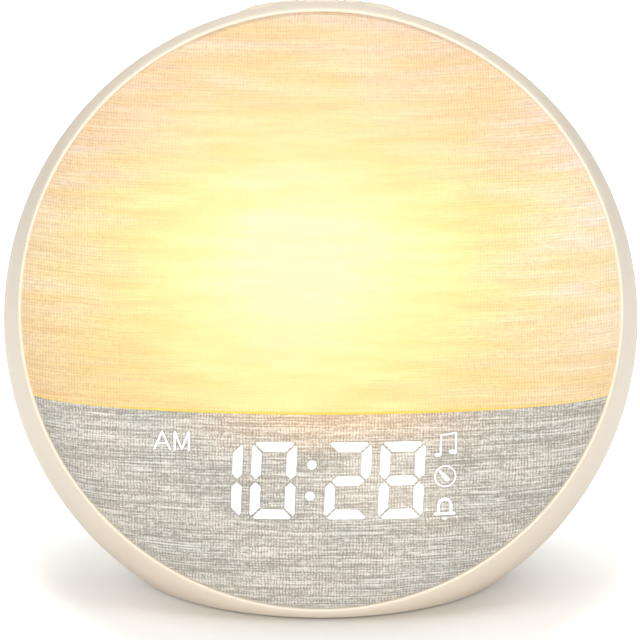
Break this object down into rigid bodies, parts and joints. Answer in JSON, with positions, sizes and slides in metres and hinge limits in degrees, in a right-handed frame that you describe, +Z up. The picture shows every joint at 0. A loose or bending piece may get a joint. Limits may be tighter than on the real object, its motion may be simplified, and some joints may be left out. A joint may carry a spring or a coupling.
{
  "type": "sunrise alarm clock",
  "caption": "Round domed wake-up lamp and clock that leans back on a flat foot, with a cloth front, a lit display, sprung keys on top and a rear speaker.",
  "frame": {"origin": "centre of the rubber foot's resting face, on the table", "axes": "+Z up, -Y towards the cloth front, +X to the right seen from the front"},
  "size_m": [0.176, 0.1095, 0.1578],
  "materials": {
    "shell_plastic": "fine-textured warm cream ABS",
    "bezel_plastic": "satin cream trim ring",
    "linen": "plain-woven linen-look polyester over the lamp and display",
    "foot_rubber": "matt dark grey rubber",
    "opal_diffuser": "opal polycarbonate, lit from behind",
    "grey_plastic": "warm grey ABS",
    "white_plastic": "white reflector ABS",
    "black_plastic": "matt black ABS",
    "chassis_plastic": "matt charcoal ABS",
    "circuit_board": "green solder mask on glass-fibre laminate",
    "lamp_board": "white solder mask on aluminium laminate",
    "lamp_diode": "white diode packages with yellow phosphor",
    "lit_guide": "clear light guides, lit",
    "dark_guide": "clear light guides, unlit",
    "chip_black": "matt moulded chip packages",
    "connector_ivory": "ivory nylon",
    "steel": "zinc-plated steel",
    "capacitor_can": "aluminium cans",
    "cell_steel": "nickel-plated steel",
    "basket_steel": "black-coated pressed steel",
    "magnet": "ferrite and plated yoke",
    "speaker_paper": "black pressed paper",
    "black_rubber": "soft black rubber",
    "black_cloth": "black open-weave dust cloth",
    "copper_wire": "enamelled copper winding",
    "key_plastic": "warm cream ABS keys",
    "switch_metal": "plated switch cans",
    "red_wire": "red wire insulation",
    "black_wire": "black wire insulation",
    "grey_wire": "pale grey wire insulation"
  },
  "bodies": {
    "root": {"front_shell": "shell_plastic", "rear_shell": "shell_plastic", "front_bezel": "bezel_plastic", "base_foot": "foot_rubber", "fabric_cover": "linen", "lamp_diffuser": "opal_diffuser", "lower_dome": "grey_plastic", "divider_shelf": "white_plastic", "reflector_bowl": "white_plastic", "led_board": "lamp_board", "lamp_leds": "lamp_diode", "chassis_plate": "chassis_plastic", "chassis_screws": "steel", "display_hood": "black_plastic", "display_board": "circuit_board", "display_leds": "lamp_diode", "lit_segments": "lit_guide", "dark_segments": "dark_guide", "colon_dots": "lit_guide", "am_window": "lit_guide", "icon_windows": "lit_guide", "display_screws": "steel", "main_board": "circuit_board", "main_chips": "chip_black", "main_capacitors": "capacitor_can", "board_connectors": "connector_ivory", "board_screws": "steel", "cell_holder": "black_plastic", "backup_cell": "cell_steel", "inlet_board": "circuit_board", "usb_socket": "steel", "usb_tongue": "black_plastic", "inlet_screws": "steel", "speaker_grille": "shell_plastic", "grille_cloth": "black_cloth", "speaker_gasket": "black_rubber", "speaker_basket": "basket_steel", "speaker_magnet": "magnet", "speaker_surround": "black_rubber", "speaker_screws": "steel", "key_frame": "key_plastic", "key_board": "circuit_board", "key_switches": "switch_metal", "key_board_screws": "steel", "housing_screws": "steel", "speaker_lead": "red_wire", "power_lead": "black_wire", "key_lead": "grey_wire"},
    "speaker_cone": {"speaker_cone": "speaker_paper", "voice_coil": "copper_wire"},
    "key_light_down": {"key_light_down": "key_plastic", "plunger_light_down": "black_plastic"},
    "key_light_up": {"key_light_up": "key_plastic", "plunger_light_up": "black_plastic"},
    "key_snooze": {"key_snooze": "key_plastic", "plunger_snooze": "black_plastic"},
    "key_sound_down": {"key_sound_down": "key_plastic", "plunger_sound_down": "black_plastic"},
    "key_sound_up": {"key_sound_up": "key_plastic", "plunger_sound_up": "black_plastic"}
  },
  "joints": [
    {"name": "speaker_cone_travel", "type": "slide", "parent": "root", "child": "speaker_cone", "axis": [0, -0.9483, 0.3173], "range_m": [-0.0008, 0.0008], "stiffness_N_per_m": 1000},
    {"name": "press_light_down", "type": "slide", "parent": "root", "child": "key_light_down", "axis": [0, -0.3173, -0.9483], "range_m": [0, 0.0004], "stiffness_N_per_m": 400},
    {"name": "press_light_up", "type": "slide", "parent": "root", "child": "key_light_up", "axis": [0, -0.3173, -0.9483], "range_m": [0, 0.0004], "stiffness_N_per_m": 400},
    {"name": "press_snooze", "type": "slide", "parent": "root", "child": "key_snooze", "axis": [0, -0.3173, -0.9483], "range_m": [0, 0.0004], "stiffness_N_per_m": 400},
    {"name": "press_sound_down", "type": "slide", "parent": "root", "child": "key_sound_down", "axis": [0, -0.3173, -0.9483], "range_m": [0, 0.0004], "stiffness_N_per_m": 400},
    {"name": "press_sound_up", "type": "slide", "parent": "root", "child": "key_sound_up", "axis": [0, -0.3173, -0.9483], "range_m": [0, 0.0004], "stiffness_N_per_m": 400}
  ]
}
